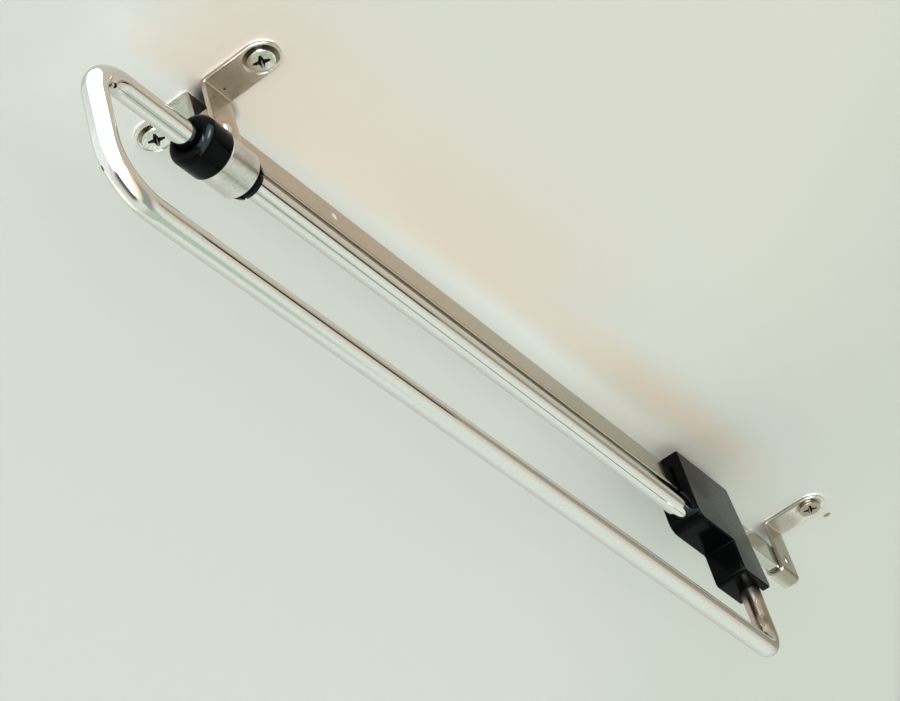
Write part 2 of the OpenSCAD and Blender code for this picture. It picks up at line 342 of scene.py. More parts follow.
def new_material(name):
    """A new material, with its node tree and its Principled shader."""
    material = bpy.data.materials.new(name)
    material.use_nodes = True
    return material, material.node_tree, material.node_tree.nodes["Principled BSDF"]


def node(tree, kind, inputs=None, **settings):
    """Adds a node, with its settings, and its inputs as values or as links from other sockets."""
    made = tree.nodes.new(kind)
    for key, value in settings.items():
        setattr(made, key, value)
    for key, value in (inputs or {}).items():
        if isinstance(value, bpy.types.NodeSocket):
            tree.links.new(value, made.inputs[key])
        else:
            made.inputs[key].default_value = value
    return made


def noise(tree, coords, scale, detail=3.0, rough=0.5):
    """Noise on the object's coordinates; scale counts its waves in a metre."""
    made = node(tree, "ShaderNodeTexNoise",
                {"Vector": coords, "Scale": scale, "Detail": detail, "Roughness": rough})
    return made.outputs["Fac"]


def rise(tree, value, low, high, least=0.0, most=1.0):
    """A smooth step up of a value, from least at low to most at high."""
    made = node(tree, "ShaderNodeMapRange",
                {"Value": value, "From Min": low, "From Max": high, "To Min": least, "To Max": most},
                interpolation_type="SMOOTHSTEP")
    return made.outputs["Result"]


def fall(tree, value, low, high):
    """A smooth step down of a value, from 1 at low to 0 at high."""
    return rise(tree, value, low, high, 1.0, 0.0)


def sum_of(tree, operation, a, b):
    """Works out one sum on two numbers or sockets."""
    return node(tree, "ShaderNodeMath", {0: a, 1: b}, operation=operation).outputs[0]


def product(tree, *factors):
    """Multiplies numbers or sockets."""
    total = factors[0]
    for factor in factors[1:]:
        total = sum_of(tree, "MULTIPLY", total, factor)
    return total


def along(tree, coords, direction):
    """How far the coordinates lie along a direction."""
    made = node(tree, "ShaderNodeVectorMath", {0: coords, 1: direction}, operation="DOT_PRODUCT")
    return made.outputs["Value"]


def mix_colour(tree, factor, a, b, blend="MIX"):
    """Mixes two colours by a factor."""
    made = node(tree, "ShaderNodeMix", data_type="RGBA", blend_type=blend)
    for key, value in (("Factor_Float", factor), ("A_Color", a), ("B_Color", b)):
        socket = next(s for s in made.inputs if s.identifier == key)
        if isinstance(value, bpy.types.NodeSocket):
            tree.links.new(value, socket)
        else:
            socket.default_value = (*value[:3], 1.0)
    return next(s for s in made.outputs if s.identifier == "Result_Color")


def object_coords(tree):
    """The object's own coordinates."""
    return node(tree, "ShaderNodeTexCoord").outputs["Object"]


def near(tree, coords, place, reach, soft):
    """1 at a place in millimetres, and 0 from a tenth beyond its reach along each axis. The step down starts
    at the share soft of the reach."""
    start = [-c / r for c, r in zip(place, reach)]
    moved = node(tree, "ShaderNodeMapping",
                 {"Vector": coords, "Location": start, "Scale": [1 / (r * MM) for r in reach]})
    far = node(tree, "ShaderNodeVectorMath", {0: moved.outputs["Vector"]}, operation="LENGTH")
    return fall(tree, far.outputs["Value"], soft, 1.1)


def plated(name, colour, rough, grain, tarnish=0.06, wear_and_painted_light=()):
    """Plated steel: a metal whose roughness drifts slowly, darker and deeper in fine pits. Its patches are
    wear and painted light and shade; each is a place and a reach in millimetres, a colour and a loss of
    gloss, and has darker specks."""
    material, tree, shader = new_material(name)
    coords = object_coords(tree)
    slow = noise(tree, coords, 60)
    fine = noise(tree, coords, 1100, 2, 0.6)
    dark = tuple(c * (1 - tarnish) for c in colour)
    base = mix_colour(tree, rise(tree, fine, 0.35, 0.65), dark, colour)
    roughness = rise(tree, slow, 0.3, 0.7, rough * 0.9, rough * 1.1)
    specks = rise(tree, noise(tree, coords, 900, 4, 0.7), 0.30, 0.62)
    for place, reach, tone, matt in wear_and_painted_light:
        patch = near(tree, coords, place, reach, 0.5)
        stain_and_painted_tone = mix_colour(tree, specks, tuple(c * 0.85 for c in tone), tone)
        base = mix_colour(tree, patch, base, stain_and_painted_tone)
        roughness = sum_of(tree, "ADD", roughness, product(tree, patch, matt))
    tree.links.new(base, shader.inputs["Base Color"])
    tree.links.new(roughness, shader.inputs["Roughness"])
    shader.inputs["Metallic"].default_value = 1.0
    bump = node(tree, "ShaderNodeBump", {"Strength": grain, "Distance": 0.00001, "Height": fine})
    tree.links.new(bump.outputs["Normal"], shader.inputs["Normal"])
    return material


def moulded(name, colour, rough, grain, ior, scale, gloss, dull):
    """Black moulded plastic: glossy or grained, with a faint mottle from handling. The dull patch is a place
    and a reach in millimetres and the share of the gloss that is lost there."""
    material, tree, shader = new_material(name)
    coords = object_coords(tree)
    slow = noise(tree, coords, 90)
    fine = noise(tree, coords, scale, 3, 0.6)
    base = mix_colour(tree, rise(tree, slow, 0.35, 0.7), colour, tuple(c * 1.5 for c in colour))
    tree.links.new(base, shader.inputs["Base Color"])
    tree.links.new(rise(tree, fine, 0.3, 0.7, rough * 0.75, rough * 1.3), shader.inputs["Roughness"])
    shader.inputs["IOR"].default_value = ior
    place, reach, loss = dull
    kept = sum_of(tree, "SUBTRACT", 1.0, product(tree, near(tree, coords, place, reach, 0.8), loss))
    tree.links.new(product(tree, gloss, kept), shader.inputs["Specular IOR Level"])
    bump = node(tree, "ShaderNodeBump", {"Strength": grain, "Distance": 0.00002, "Height": fine})
    tree.links.new(bump.outputs["Normal"], shader.inputs["Normal"])
    return material


def finish(name):
    """A colour that the user set."""
    return tuple(getattr(bpy.context.scene.rail_finish, name))


def shared(maker):
    """The material that a maker gives, made at its first use and named like the maker."""
    name = maker.__name__
    return bpy.data.materials.get(name) or maker(name)


def nickel_plate(name):
    """Plating of the rod."""
    return plated(name, finish("nickel"), rough=0.055, grain=0.06, tarnish=0.04, wear_and_painted_light=[
        # Painted darker reflection along the top of the hanging bar, and slightly darker inside the upper
        # front bend
        ((3, 60, -69.5), (3, 90, 4), (0.50, 0.45, 0.38), 0.03),
        ((1, -203.5, -33), (4, 4, 4), (0.67, 0.625, 0.58), 0.05),
        # Rear leg: browner, painted shade where it enters the slider's slot, a painted dark reflection as a
        # line, and a dark spot
        ((0, 118, -56), (9, 9, 16), (0.60, 0.46, 0.37), 0.18),
        ((0, 118, -46), (9, 9, 7.5), (0.10, 0.08, 0.065), 0.2),
        ((0.2, 114.3, -56), (1.2, 2, 13), (0.04, 0.032, 0.025), 0.0),
        ((1.2, 114.7, -61.2), (2.5, 2.5, 2.8), (0.20, 0.16, 0.12), 0.05),
        # Small dark mark at the lower front bend
        ((-2.4, -215.5, -65.8), (0.7, 0.8, 1.2), (0.08, 0.06, 0.05), 0.05)])


def bar_plate(name):
    """Plating of the flat bar, brownish in front."""
    return plated(name, finish("bar"), rough=0.15, grain=0.2, tarnish=0.1, wear_and_painted_light=[
        # Greyer towards the rear
        ((0, 160, -14), (10, 260, 12), (0.47, 0.465, 0.385), 0.0),
        # Painted shade underneath, on the left, in the gap above the rod
        ((-0.8, -30, -21), (1.8, 130, 0.6), (0.10, 0.08, 0.06), 0.1),
        # Painted highlight on the pip
        ((2.1, -110, -16), (0.8, 1.4, 1.4), (1.0, 0.98, 0.95), 0.4)])


def strip_steel(name):
    """Plating of the brackets' strip."""
    return plated(name, finish("strip"), rough=0.2, grain=0.2, tarnish=0.06, wear_and_painted_light=[
        # Front bracket: right wing, painted shade in its fold, right web with a painted darker reflection,
        # left web, left wing, painted shade between the webs, ring, and a painted highlight on the ring's
        # bright front edge
        ((14, -160, 0), (17, 10, 3), (0.56, 0.465, 0.375), 0.06),
        ((4, -161, -1), (9, 10, 4), (0.47, 0.39, 0.31), 0.06),
        ((4.5, -161, -13), (3, 9, 17), (0.51, 0.41, 0.33), 0.05),
        ((-3.5, -161, -9), (2, 11, 15), (0.54, 0.50, 0.43), 0.03),
        ((-7.5, -160, -1.5), (6, 10, 3), (0.58, 0.52, 0.44), 0.03),
        ((0, -160, -4), (3, 20, 8), (0.12, 0.10, 0.08), 0.1),
        ((2, -160, -31), (9, 10, 9), (0.60, 0.555, 0.505), 0.07),
        ((6.3, -165.8, -31.2), (2.2, 0.9, 3), (1.0, 0.95, 0.88), 0.3),
        # Rear bracket: webs, right wing, painted shade in its fold, and its front edge
        ((2, 160, -14), (6, 20, 18), (0.38, 0.32, 0.25), 0.1),
        ((15, 160, 0), (15, 8.5, 4), (0.70, 0.65, 0.58), 0.1),
        ((7, 160, -1), (8, 9, 4), (0.50, 0.43, 0.36), 0.1),
        ((15, 153.7, -0.8), (14, 1.8, 3), (0.30, 0.25, 0.20), 0.15),
        # Two small punch marks on the front wings: real marks, drawn only as dark dots of painted shade
        ((5.4, -159.3, -1.5), (0.5, 0.5, 0.8), (0.04, 0.03, 0.02), 0.1),
        ((-19.9, -155.6, -1.5), (0.5, 0.5, 0.8), (0.05, 0.04, 0.03), 0.1)])


def rivet_plate(name):
    """Satin plating of the rivets' heads, dull at the rear, where painted shade darkens the rear rivet."""
    return plated(name, finish("zinc"), rough=0.38, grain=0.3, tarnish=0.1, wear_and_painted_light=[
        ((3.5, 160, -16), (3, 3, 3), (0.40, 0.35, 0.29), 0.1)])


def screw_zinc(name):
    """Bright plating of the screws, browner on the front one beside the rail and at the rear."""
    return plated(name, finish("zinc"), rough=0.2, grain=0.25, tarnish=0.2, wear_and_painted_light=[
        ((17, -160, -2.5), (3, 5, 4), (0.72, 0.62, 0.52), 0.05),
        ((19, 160, -2), (6, 6, 5), (0.39, 0.31, 0.235), 0.15)])


def screw_recess(name):
    """Painted shade inside the screws' cross recess: dark metal."""
    return plated(name, (0.07, 0.05, 0.04), rough=0.45, grain=0.3, tarnish=0.4)


def black_plastic(name):
    """Polished black plastic of the bush and of all but the slider's sides, without gloss in the bush's
    mouth, as painted shade there.
    """
    return moulded(name, finish("plastic"), rough=0.13, grain=0.12, ior=1.2, scale=2600, gloss=0.25,
                   dull=((0, -175.5, -28), (5.6, 3, 5.6), 1.0))


def black_grained(name):
    """Grained black plastic of the slider's sides, duller at its upper front corner."""
    return moulded(name, finish("plastic"), rough=0.34, grain=0.9, ior=1.46, scale=1500, gloss=0.5,
                   dull=((6, 89, -12), (6, 13, 11), 0.5))


# Pieces

def bracket_skin(line, hole_x, y):
    """A steel strip laid flat, with a round end and a countersunk hole at each side, then bent along a line
    and moved to y. Flat coordinates are the length s along the strip, the place v across it and the height n
    through it. The bend puts each point at line(s) plus n times the line's normal, and keeps v."""
    size = sizes()
    half_w, half_t, soft = size["strap_w"] / 2, size["strap_t"] / 2, 0.42
    hole_top, hole_wide, land, lip = 2.3, 5.2, 0.2, 0.1
    columns, lead_steps = 17, 7
    points, ways = line
    points = np.vstack([points[::-1] * [-1, 1], points[1:]])
    ways = np.vstack([ways[::-1] * [1, -1], ways[1:]])
    s_line = np.concatenate([[0], np.cumsum(np.linalg.norm(np.diff(points, axis=0), axis=1))])
    s_line -= s_line[-1] / 2
    s_hole = s_line[-1] - (points[-1, 0] - hole_x)

    def bent(s, v, n):
        cx, cz = np.interp(s, s_line, points[:, 0]), np.interp(s, s_line, points[:, 1])
        wx, wz = np.interp(s, s_line, ways[:, 0]), np.interp(s, s_line, ways[:, 1])
        scale = np.hypot(wx, wz)
        return np.stack([cx - n * wz / scale, y + v, cz + n * wx / scale], axis=-1)

    # Rounded edge from the top face round to the bottom face: how far in it lies, and its height
    corner = np.radians(np.linspace(0, 90, 6))
    inset = soft * (1 - np.sin(corner))
    upper = half_t - soft + soft * np.cos(corner)
    edge_in = np.concatenate([inset, inset[::-1]])
    edge_n = np.concatenate([upper, -upper[::-1]])
    flat = np.linspace(soft - half_w, half_w - soft, columns)[1:-1]

    # The strip between the two end patches
    end_s = s_hole - half_w
    rows = np.concatenate([[-end_s], s_line[np.abs(s_line) <= end_s - 0.05], [end_s]])
    level = np.full(columns - 2, half_t)
    loop_v = np.concatenate([half_w - edge_in, flat[::-1], edge_in[::-1] - half_w, flat])
    loop_n = np.concatenate([edge_n, -level, edge_n[::-1], level])
    s, v = np.meshgrid(rows, loop_v, indexing="ij")
    skin = Skin()
    skin.grid(bent(s, v, np.broadcast_to(loop_n, s.shape)), wrap_cols=True)

    # Round end: the edge's profile carried along the outline (out_u, out_v) with its normal (norm_u, norm_v)
    lead = np.linspace(-half_w, 0, lead_steps)
    fan = np.radians(np.linspace(90, -90, 41))[1:-1]
    ones, zeros = np.ones(lead_steps), np.zeros(lead_steps)
    out_u = np.concatenate([lead, half_w * np.cos(fan), lead[::-1]])
    out_v = np.concatenate([half_w * ones, half_w * np.sin(fan), -half_w * ones])
    norm_u = np.concatenate([zeros, np.cos(fan), zeros])
    norm_v = np.concatenate([ones, np.sin(fan), -ones])
    ring_u = np.concatenate([out_u - soft * norm_u, np.full(columns - 2, -half_w)])
    ring_v = np.concatenate([out_v - soft * norm_v, flat])
    turn = np.arctan2(ring_v, ring_u)
    # The hole's wall: a short land, the countersink, and its softened rim
    wall = np.array([[hole_top, half_t], [hole_top, half_t - land], [hole_wide - 0.1, 0.14 - half_t],
                     [hole_wide + 0.05, 0.04 - half_t], [hole_wide + lip, -half_t]])
    for end in (-1, 1):
        def place(u, v, n):
            u, v, n = np.broadcast_arrays(u, v, n)
            return bent(end * (s_hole + u), v, n)

        skin.grid(place(out_u[:, None] - edge_in * norm_u[:, None],
                        out_v[:, None] - edge_in * norm_v[:, None], edge_n))
        for radius, height in ((hole_top, half_t), (hole_wide + lip, -half_t)):
            k = np.linspace(0, 1, 6)[:, None]
            skin.grid(place(radius * np.cos(turn) * (1 - k) + ring_u * k,
                            radius * np.sin(turn) * (1 - k) + ring_v * k, height), wrap_cols=True)
        skin.grid(place(wall[:, :1] * np.cos(turn), wall[:, :1] * np.sin(turn), wall[:, 1:]), wrap_cols=True)
    return skin


class RAIL_OT_rod(Operator):
    """Bends the rod into its loop: upper rod, front leg, hanging bar and rear leg"""

    bl_idname = "rail.rod"
    bl_label = "Rod loop"

    def execute(self, context):
        size = sizes()
        radius, end_soft, sides = size["rod_d"] / 2, 0.5, 72
        top = -size["rod_drop"]
        low = top - size["loop_depth"]
        front, rear = size["rod_front"], size["rod_rear"]
        corners = [(size["slider_front"] + ROD_SOCKET, top), (front, top), (front, low), (rear, low),
                   (rear, LEG_SOCKET - size["slider_drop"])]
        path, ways = rounded(corners, [0, size["top_bend"], size["front_bend"], size["rear_bend"], 0],
                             closed=False, turn_steps=24, line_step=4)
        # Both ends are rounded off, by rings that narrow over the last half millimetre
        a = np.radians(np.linspace(0, 90, 5))
        lead = end_soft * (1 - np.cos(a))
        narrow = radius - end_soft + end_soft * np.sin(a)
        start = path[0] + ways[0] * lead[:, None]
        end = path[-1] - ways[-1] * lead[::-1][:, None]
        centre = np.vstack([start[:1], start, path[2:-2], end, end[-1:]])
        way = np.vstack([ways[:1].repeat(6, 0), ways[2:-2], ways[-1:].repeat(6, 0)])
        r = np.concatenate([[0], narrow, np.full(len(path) - 4, radius), narrow[::-1], [0]])
        # Each ring stands square to the path: x is r times the cosine of the turn, and r times its sine goes
        # along the path's normal
        turn = 2 * np.pi * np.arange(sides) / sides
        x = r[:, None] * np.cos(turn)
        off = r[:, None] * np.sin(turn)
        y = centre[:, :1] - off * way[:, 1:]
        z = centre[:, 1:] + off * way[:, :1]
        skin = Skin()
        skin.grid(np.stack([x, y, z], axis=-1), wrap_cols=True)
        settle(skin.object("bent_rod", smooth=50), "rail", "rod_loop", nickel_plate)
        return {"FINISHED"}


class RAIL_OT_bar(Operator):
    """Makes the flat bar with rounded edges, and a pip on each side"""

    bl_idname = "rail.bar"
    bl_label = "Flat bar"

    def execute(self, context):
        size = sizes()
        half_t, half_h = size["bar_t"] / 2, size["bar_h"] / 2
        mid = -size["bar_drop"] - half_h
        soft, end_soft = 0.6, 0.4
        past_screws = size["strap_w"] / 2 - 0.3
        front, rear = size["front_y"] - past_screws, size["rear_y"] + past_screws
        pip_y, pip_r, pip_h, fine = size["front_y"] + 50, 0.8, 0.22, 1.2
        # Half of the outline from the top to the bottom, with close points near the pip
        dense = np.concatenate([np.linspace(half_h - soft, fine, 5)[:-1], np.linspace(fine, -fine, 25),
                                np.linspace(-fine, soft - half_h, 5)[1:]])
        a = np.radians(np.linspace(90, 0, 7))
        corner_x, corner_z = half_t - soft + soft * np.cos(a), half_h - soft + soft * np.sin(a)
        side_x = np.concatenate([corner_x, np.full(len(dense) - 2, half_t), corner_x[::-1]])
        side_z = np.concatenate([corner_z, dense[1:-1], -corner_z[::-1]])
        loop_x = np.concatenate([side_x, -side_x[::-1]])
        loop_z = np.concatenate([side_z, side_z[::-1]])
        # Rows along the bar, drawn in at both ends
        y = np.unique(np.concatenate([np.linspace(front + end_soft, rear - end_soft, 60),
                                      pip_y + np.linspace(-fine, fine, 25)]))
        b = np.radians(np.linspace(0, 90, 5))[:-1]
        front_rows, front_in = front + end_soft * (1 - np.cos(b)), end_soft * (1 - np.sin(b))
        rows = np.concatenate([front_rows, y, rear + front - front_rows[::-1]])
        inset = np.concatenate([front_in, np.zeros(len(y)), front_in[::-1]])[:, None]
        # The pip stands out by its height times the root of 1 minus the squared share of its radius
        far = ((rows[:, None] - pip_y) ** 2 + loop_z ** 2) / pip_r ** 2
        pip = pip_h * np.sqrt(np.clip(1 - far, 0, 1)) * (np.abs(loop_x) >= half_t - WELD)
        shape_x = np.sign(loop_x) * (np.abs(loop_x) - inset + pip)
        shape_z = loop_z * (1 - inset / half_h)
        p = np.stack([shape_x, np.broadcast_to(rows[:, None], shape_x.shape), shape_z + mid], axis=-1)
        skin = Skin()
        skin.tube(p)
        settle(skin.object("flat_bar"), "track", "track_bar", bar_plate)
        return {"FINISHED"}


class RAIL_OT_brackets(Operator):
    """Bends the two brackets from one strip each, the front one with a ring and the rear one as a loop"""

    bl_idname = "rail.brackets"
    bl_label = "Brackets"

    def execute(self, context):
        size = sizes()
        half_t = size["strap_t"] / 2
        # Radii and places of the strip's middle line
        fold, ring, neck = 2 - half_t, 5.6 + half_t, 4.5 - half_t
        web = size["bar_t"] / 2 + PRESS_GAP + half_t
        wing_end = size["screw_x"] / 2 + size["strap_w"] / 2
        wing_low = -half_t - fold
        wing = joined(arc((web + fold, wing_low), fold, 180, 90, 13),
                      straight((web + fold, -half_t), (wing_end, -half_t), 24))
        axis = -size["rod_drop"]
        meet_x = web + neck
        meet_z = axis + math.sqrt((ring + neck) ** 2 - meet_x ** 2)
        angle = math.degrees(math.atan2(meet_z - axis, meet_x))
        front = joined(arc((0, axis), ring, -90, angle, 60),
                       arc((meet_x, meet_z), neck, angle + 180, 180, 16),
                       straight((web, meet_z), (web, wing_low), 20), wing)
        floor = -size["bar_drop"] - size["bar_h"] - PRESS_GAP - half_t
        rear = joined(straight((0, floor), (web - fold, floor), 4),
                      arc((web - fold, floor + fold), fold, -90, 0, 13),
                      straight((web, floor + fold), (web, wing_low), 20), wing)
        for name, node_name, line, y in (("front_strap", "front_bracket", front, size["front_y"]),
                                         ("rear_strap", "rear_bracket", rear, size["rear_y"])):
            skin = bracket_skin(line, size["screw_x"] / 2, y)
            settle(skin.object(name), "track", node_name, strip_steel)
        return {"FINISHED"}


class RAIL_OT_rivets(Operator):
    """Makes the rivets with domed heads on both sides"""

    bl_idname = "rail.rivets"
    bl_label = "Rivets"

    def execute(self, context):
        size = sizes()
        head_r, head_h, shank_r = 1.7, 0.7, 1.2
        out = size["bar_t"] / 2 + PRESS_GAP + size["strap_t"]
        a = np.linspace(0, np.pi / 2, 12)
        head = np.stack([head_r * np.sin(a), out + head_h * np.cos(a)], axis=-1)
        profile = np.vstack([head, [[shank_r, out]], [[shank_r, -out]], head[::-1] * [1, -1]])
        skin = Skin()
        for y in (size["front_y"], size["rear_y"]):
            skin.grid(along_x(lathe(profile, 40), y, -size["bar_drop"] - size["bar_h"] / 2), wrap_cols=True)
        settle(skin.object("rivets"), "track", "bracket_rivets", rivet_plate)
        return {"FINISHED"}


class RAIL_OT_screws(Operator):
    """Makes the four countersunk screws, with a cross recess in the head and a thread"""

    bl_idname = "rail.screws"
    bl_label = "Screws"

    def execute(self, context):
        size = sizes()
        turned, proud = self.spin(25), 1.1
        face_z = -size["strap_t"] - proud
        one, cross = self.screw(), self.recess()
        body, tools = Skin(), []
        for row in ("front_y", "rear_y"):
            for side in (1, -1):
                at = np.array([side * size["screw_x"] / 2, size[row], face_z])
                body.grid(one @ turned + at, wrap_cols=True)
                tool = Skin()
                tool.tube(cross @ turned + at)
                tools.append(tool)
        piece = cut(body.object("screws"), *tools)
        settle(piece, "track", "fixing_screws", screw_zinc, screw_recess)
        return {"FINISHED"}

    def spin(self, degrees):
        """The turn about the Z axis, as a matrix for points in rows."""
        t = math.radians(degrees)
        return np.array([[math.cos(t), math.sin(t), 0], [-math.sin(t), math.cos(t), 0], [0, 0, 1]])

    def screw(self):
        """One screw, its face at height 0 and its tip upwards: a profile turned about its axis. Along the
        thread the radius rises to a crest once in each pitch of height less the turn's share, and it narrows
        towards the tip."""
        head_r, shank_r, core, pitch = 4.0, 2.0, 1.4, 1.6
        shank_end, thread_start, thread_end, tip, sides, rings = 8.8, 8.9, 15.9, 16.0, 48, 130
        crest_half, taper_len, lead_len = 0.3, 2.6, 0.8
        a = np.linspace(0, 1, 9)
        face = np.stack([a * (head_r - 0.25), 0.16 * a ** 2], axis=-1)
        rim = np.array([[head_r - 0.05, 0.24], [head_r, 0.36], [head_r - 0.02, 0.57]])
        neck = np.array([[shank_r, 2.55], [shank_r, shank_end]])
        z = np.linspace(thread_start, thread_end, rings)
        thread = np.stack([np.full(rings, core), z], axis=-1)
        p = lathe(np.vstack([face, rim, neck, thread, [[0, tip]]]), sides)
        turn = 2 * np.pi * np.arange(sides) / sides
        phase = (z[:, None] - thread_start) / pitch - turn / (2 * np.pi)
        crest = np.clip(1 - np.abs((phase % 1) - 0.5) / crest_half, 0, 1)
        taper = np.clip((tip - z) / taper_len, 0.02, 1)[:, None]
        lead = np.clip((z - thread_start) / lead_len, 0, 1)[:, None]
        radius = (core + (shank_r - core) * (crest * lead + (1 - lead))) * taper
        start = len(face) + len(rim) + len(neck)
        p[start:start + rings, :, 0] = radius * np.cos(turn)
        p[start:start + rings, :, 1] = radius * np.sin(turn)
        return p

    def recess(self):
        """The recess: a cross of four arms that widen towards the middle, narrowing with depth."""
        arm, tip, root = 2.5, 0.34, 0.8
        quarter = np.array([[arm, -tip, 0], [arm, tip, 0], [root, root, 0]])
        cross = np.vstack([quarter @ self.spin(q) for q in (0, 90, 180, 270)])
        return np.array([cross * [k, k, 0] + [0, 0, h] for k, h in ((1.12, -0.4), (1.0, 0.1), (0.4, 1.95))])


class RAIL_OT_bush(Operator):
    """Makes the black bush: head, body through the ring, and four snap tabs behind it"""

    bl_idname = "rail.bush"
    bl_label = "Bush"

    def execute(self, context):
        size = sizes()
        bore, body, head, lip = 3.58, 5.5, 7.75, 6.1
        mouth, head_len, tab_len, overlap = 1.3, 9.5, 3.7, 3
        tab_count, half_slit, slit_turn = 4, 0.5, 20
        face, seat = size["front_y"] - size["strap_w"] / 2, size["front_y"] + size["strap_w"] / 2
        axis = -size["rod_drop"]
        tip = face - head_len
        outline, _ = rounded([(bore, tip + mouth), (bore + mouth, tip), (head, tip), (head, face),
                              (body, face), (body, seat - overlap), (bore, seat - overlap)],
                             [0.3, 0.15, 2.2, 0.25, 0.1, 0.1, 0.1])
        skin = Skin()
        skin.grid(along_y(lathe(outline, 96), axis), wrap_rows=True, wrap_cols=True)
        # Tabs: the profile turned through its sector, which the slits narrow by the arcsine of their half
        # width over the radius. One slit is turned away from straight above the rod.
        inner = body - 0.005
        tab, _ = rounded([(bore, seat - overlap - 0.2), (inner, seat - overlap - 0.2), (inner, seat + 0.1),
                          (lip, seat + 0.1), (lip, seat + tab_len / 2), (body, seat + tab_len),
                          (bore, seat + tab_len)], [0.1, 0.1, 0.1, 0.2, 0.5, 0.3, 0.2], turn_steps=4)
        r, along_bush = tab[:, :1], tab[:, 1:]
        half = np.pi / tab_count - np.arcsin(half_slit / r)
        k = np.linspace(-1, 1, 21)
        for n in range(tab_count):
            turn = math.radians(90 - slit_turn + (n + 0.5) * 360 / tab_count) + half * k
            p = np.stack([r * np.cos(turn), np.broadcast_to(along_bush, turn.shape), axis + r * np.sin(turn)],
                         axis=-1)
            skin.grid(p, wrap_rows=True)
            skin.cap(p[:, 0])
            skin.cap(p[:, -1])
        settle(skin.object("bush"), "track", "front_bush", black_plastic)
        return {"FINISHED"}


class RAIL_OT_slider(Operator):
    """Makes the black slider: a block with a foot, a tunnel for the bar and sockets for the rod's ends"""

    bl_idname = "rail.slider"
    bl_label = "Slider"

    def execute(self, context):
        size = sizes()
        half_w = size["slider_w"] / 2
        piece = self.block(size, half_w).object("slider_block")
        cut(piece, self.tunnel(size), *self.sockets(size))
        # The flat sides are grained, the rest is polished
        faces = len(piece.data.polygons)
        centre, normal = np.empty(faces * 3), np.empty(faces * 3)
        piece.data.polygons.foreach_get("center", centre)
        piece.data.polygons.foreach_get("normal", normal)
        flat = (np.abs(centre[0::3]) > (half_w - 0.01) * MM) & (np.abs(normal[0::3]) > 0.99)
        piece.data.polygons.foreach_set("material_index", flat.astype(int))
        settle(piece, "rail", "slider", black_plastic, black_grained)
        return {"FINISHED"}

    def block(self, size, half_w):
        """The side outline, with rounded corners, carried across from side to side: its edges are drawn in by
        a quarter circle at each side."""
        front, top, step, foot = size["slider_front"], -5.5, -34, -size["slider_drop"]
        foot_front, foot_rear, top_rear = front + 22.5, front + 41, front + 35.5
        outline, ways = rounded([(front, top), (front, step), (foot_front, step), (foot_front, foot),
                                 (foot_rear, foot), (top_rear, top)], [1.2, 4, 0.5, 1.5, 2, 0.9])
        soft = 0.55
        a = np.radians(np.linspace(0, 90, 6))
        x = half_w - soft + soft * np.cos(a)
        inset = soft * (1 - np.sin(a))
        x, inset = np.concatenate([-x, x[::-1]]), np.concatenate([inset, inset[::-1]])
        flat = outline[None] - inset[:, None, None] * outward(ways)[None]
        loops = np.concatenate([np.broadcast_to(x[:, None, None], flat.shape[:2] + (1,)), flat], axis=-1)
        block = Skin()
        block.tube(loops)
        return block

    def tunnel(self, size):
        """The bar's tunnel: the bar's outline with a clearance, carried along the slider and flared at both
        ends."""
        front, clear = size["slider_front"], 0.35
        half_x, half_z = size["bar_t"] / 2 + clear, size["bar_h"] / 2 + clear
        mid = -size["bar_drop"] - size["bar_h"] / 2
        outline, ways = rounded([(-half_x, mid - half_z), (half_x, mid - half_z), (half_x, mid + half_z),
                                 (-half_x, mid + half_z)], [0.3] * 4, turn_steps=4)
        # Places along the slider, and how much the tunnel has grown there
        ends = [(front - 1, 1.35), (front + 0.35, 0), (front + 36.8, 0), (front + 39, 1.2)]
        flared = [(outline + grow * outward(ways), y) for y, grow in ends]
        rings = np.array([np.column_stack([p[:, 0], np.full(len(p), y), p[:, 1]]) for p, y in flared])
        tunnel = Skin()
        tunnel.tube(rings)
        return tunnel

    def sockets(self, size):
        """The upper rod's socket, and the rear leg's, which is open at the back as a slot."""
        front, foot, rear = size["slider_front"], -size["slider_drop"], size["rod_rear"]
        r, flare, rim, past = size["rod_d"] / 2 + PRESS_GAP, 1.3, 0.3, 1
        leg_end = foot + LEG_SOCKET
        upper = Skin()
        upper.grid(along_y(lathe([(0, front - past), (r + flare, front - past), (r, front + rim),
                                  (r, front + ROD_SOCKET), (0, front + ROD_SOCKET)], 64), -size["rod_drop"]),
                   wrap_cols=True)
        leg = Skin()
        leg.grid(lathe([(0, foot - past), (r + flare, foot - past), (r, foot + rim), (r, leg_end),
                        (0, leg_end)], 64) + [0, rear, 0], wrap_cols=True)
        slot, half, back = Skin(), 3.3, rear + 10
        box = np.array([[[-half, rear, z], [half, rear, z], [half, back, z], [-half, back, z]]
                        for z in (foot - past, leg_end)], float)
        slot.tube(box)
        return upper, leg, slot


# Stage

# Millimetres: the shelf's outline from above and its height, just clear of the brackets' wings
SHELF_CORNERS = [(-22, -231), (-68, -169), (-250, 0), (-430, 170), (-430, 700), (210, 700), (210, -78)]
SHELF_HEIGHT = 0.05

# Painted reflections, glowing boards that the metal mirrors at the side: name, then place across, front,
# rear, bottom and top in millimetres, and colour
BOARDS = [("side_board", 210, -78, 700, -58, 0, (0.52, 0.46, 0.375)),
          ("dim_gap", 209.5, -78, 700, -70, -46, (0.36, 0.31, 0.25)),
          ("dark_gap", 209, -20, 137, -82, -34, (0.01, 0.009, 0.008))]

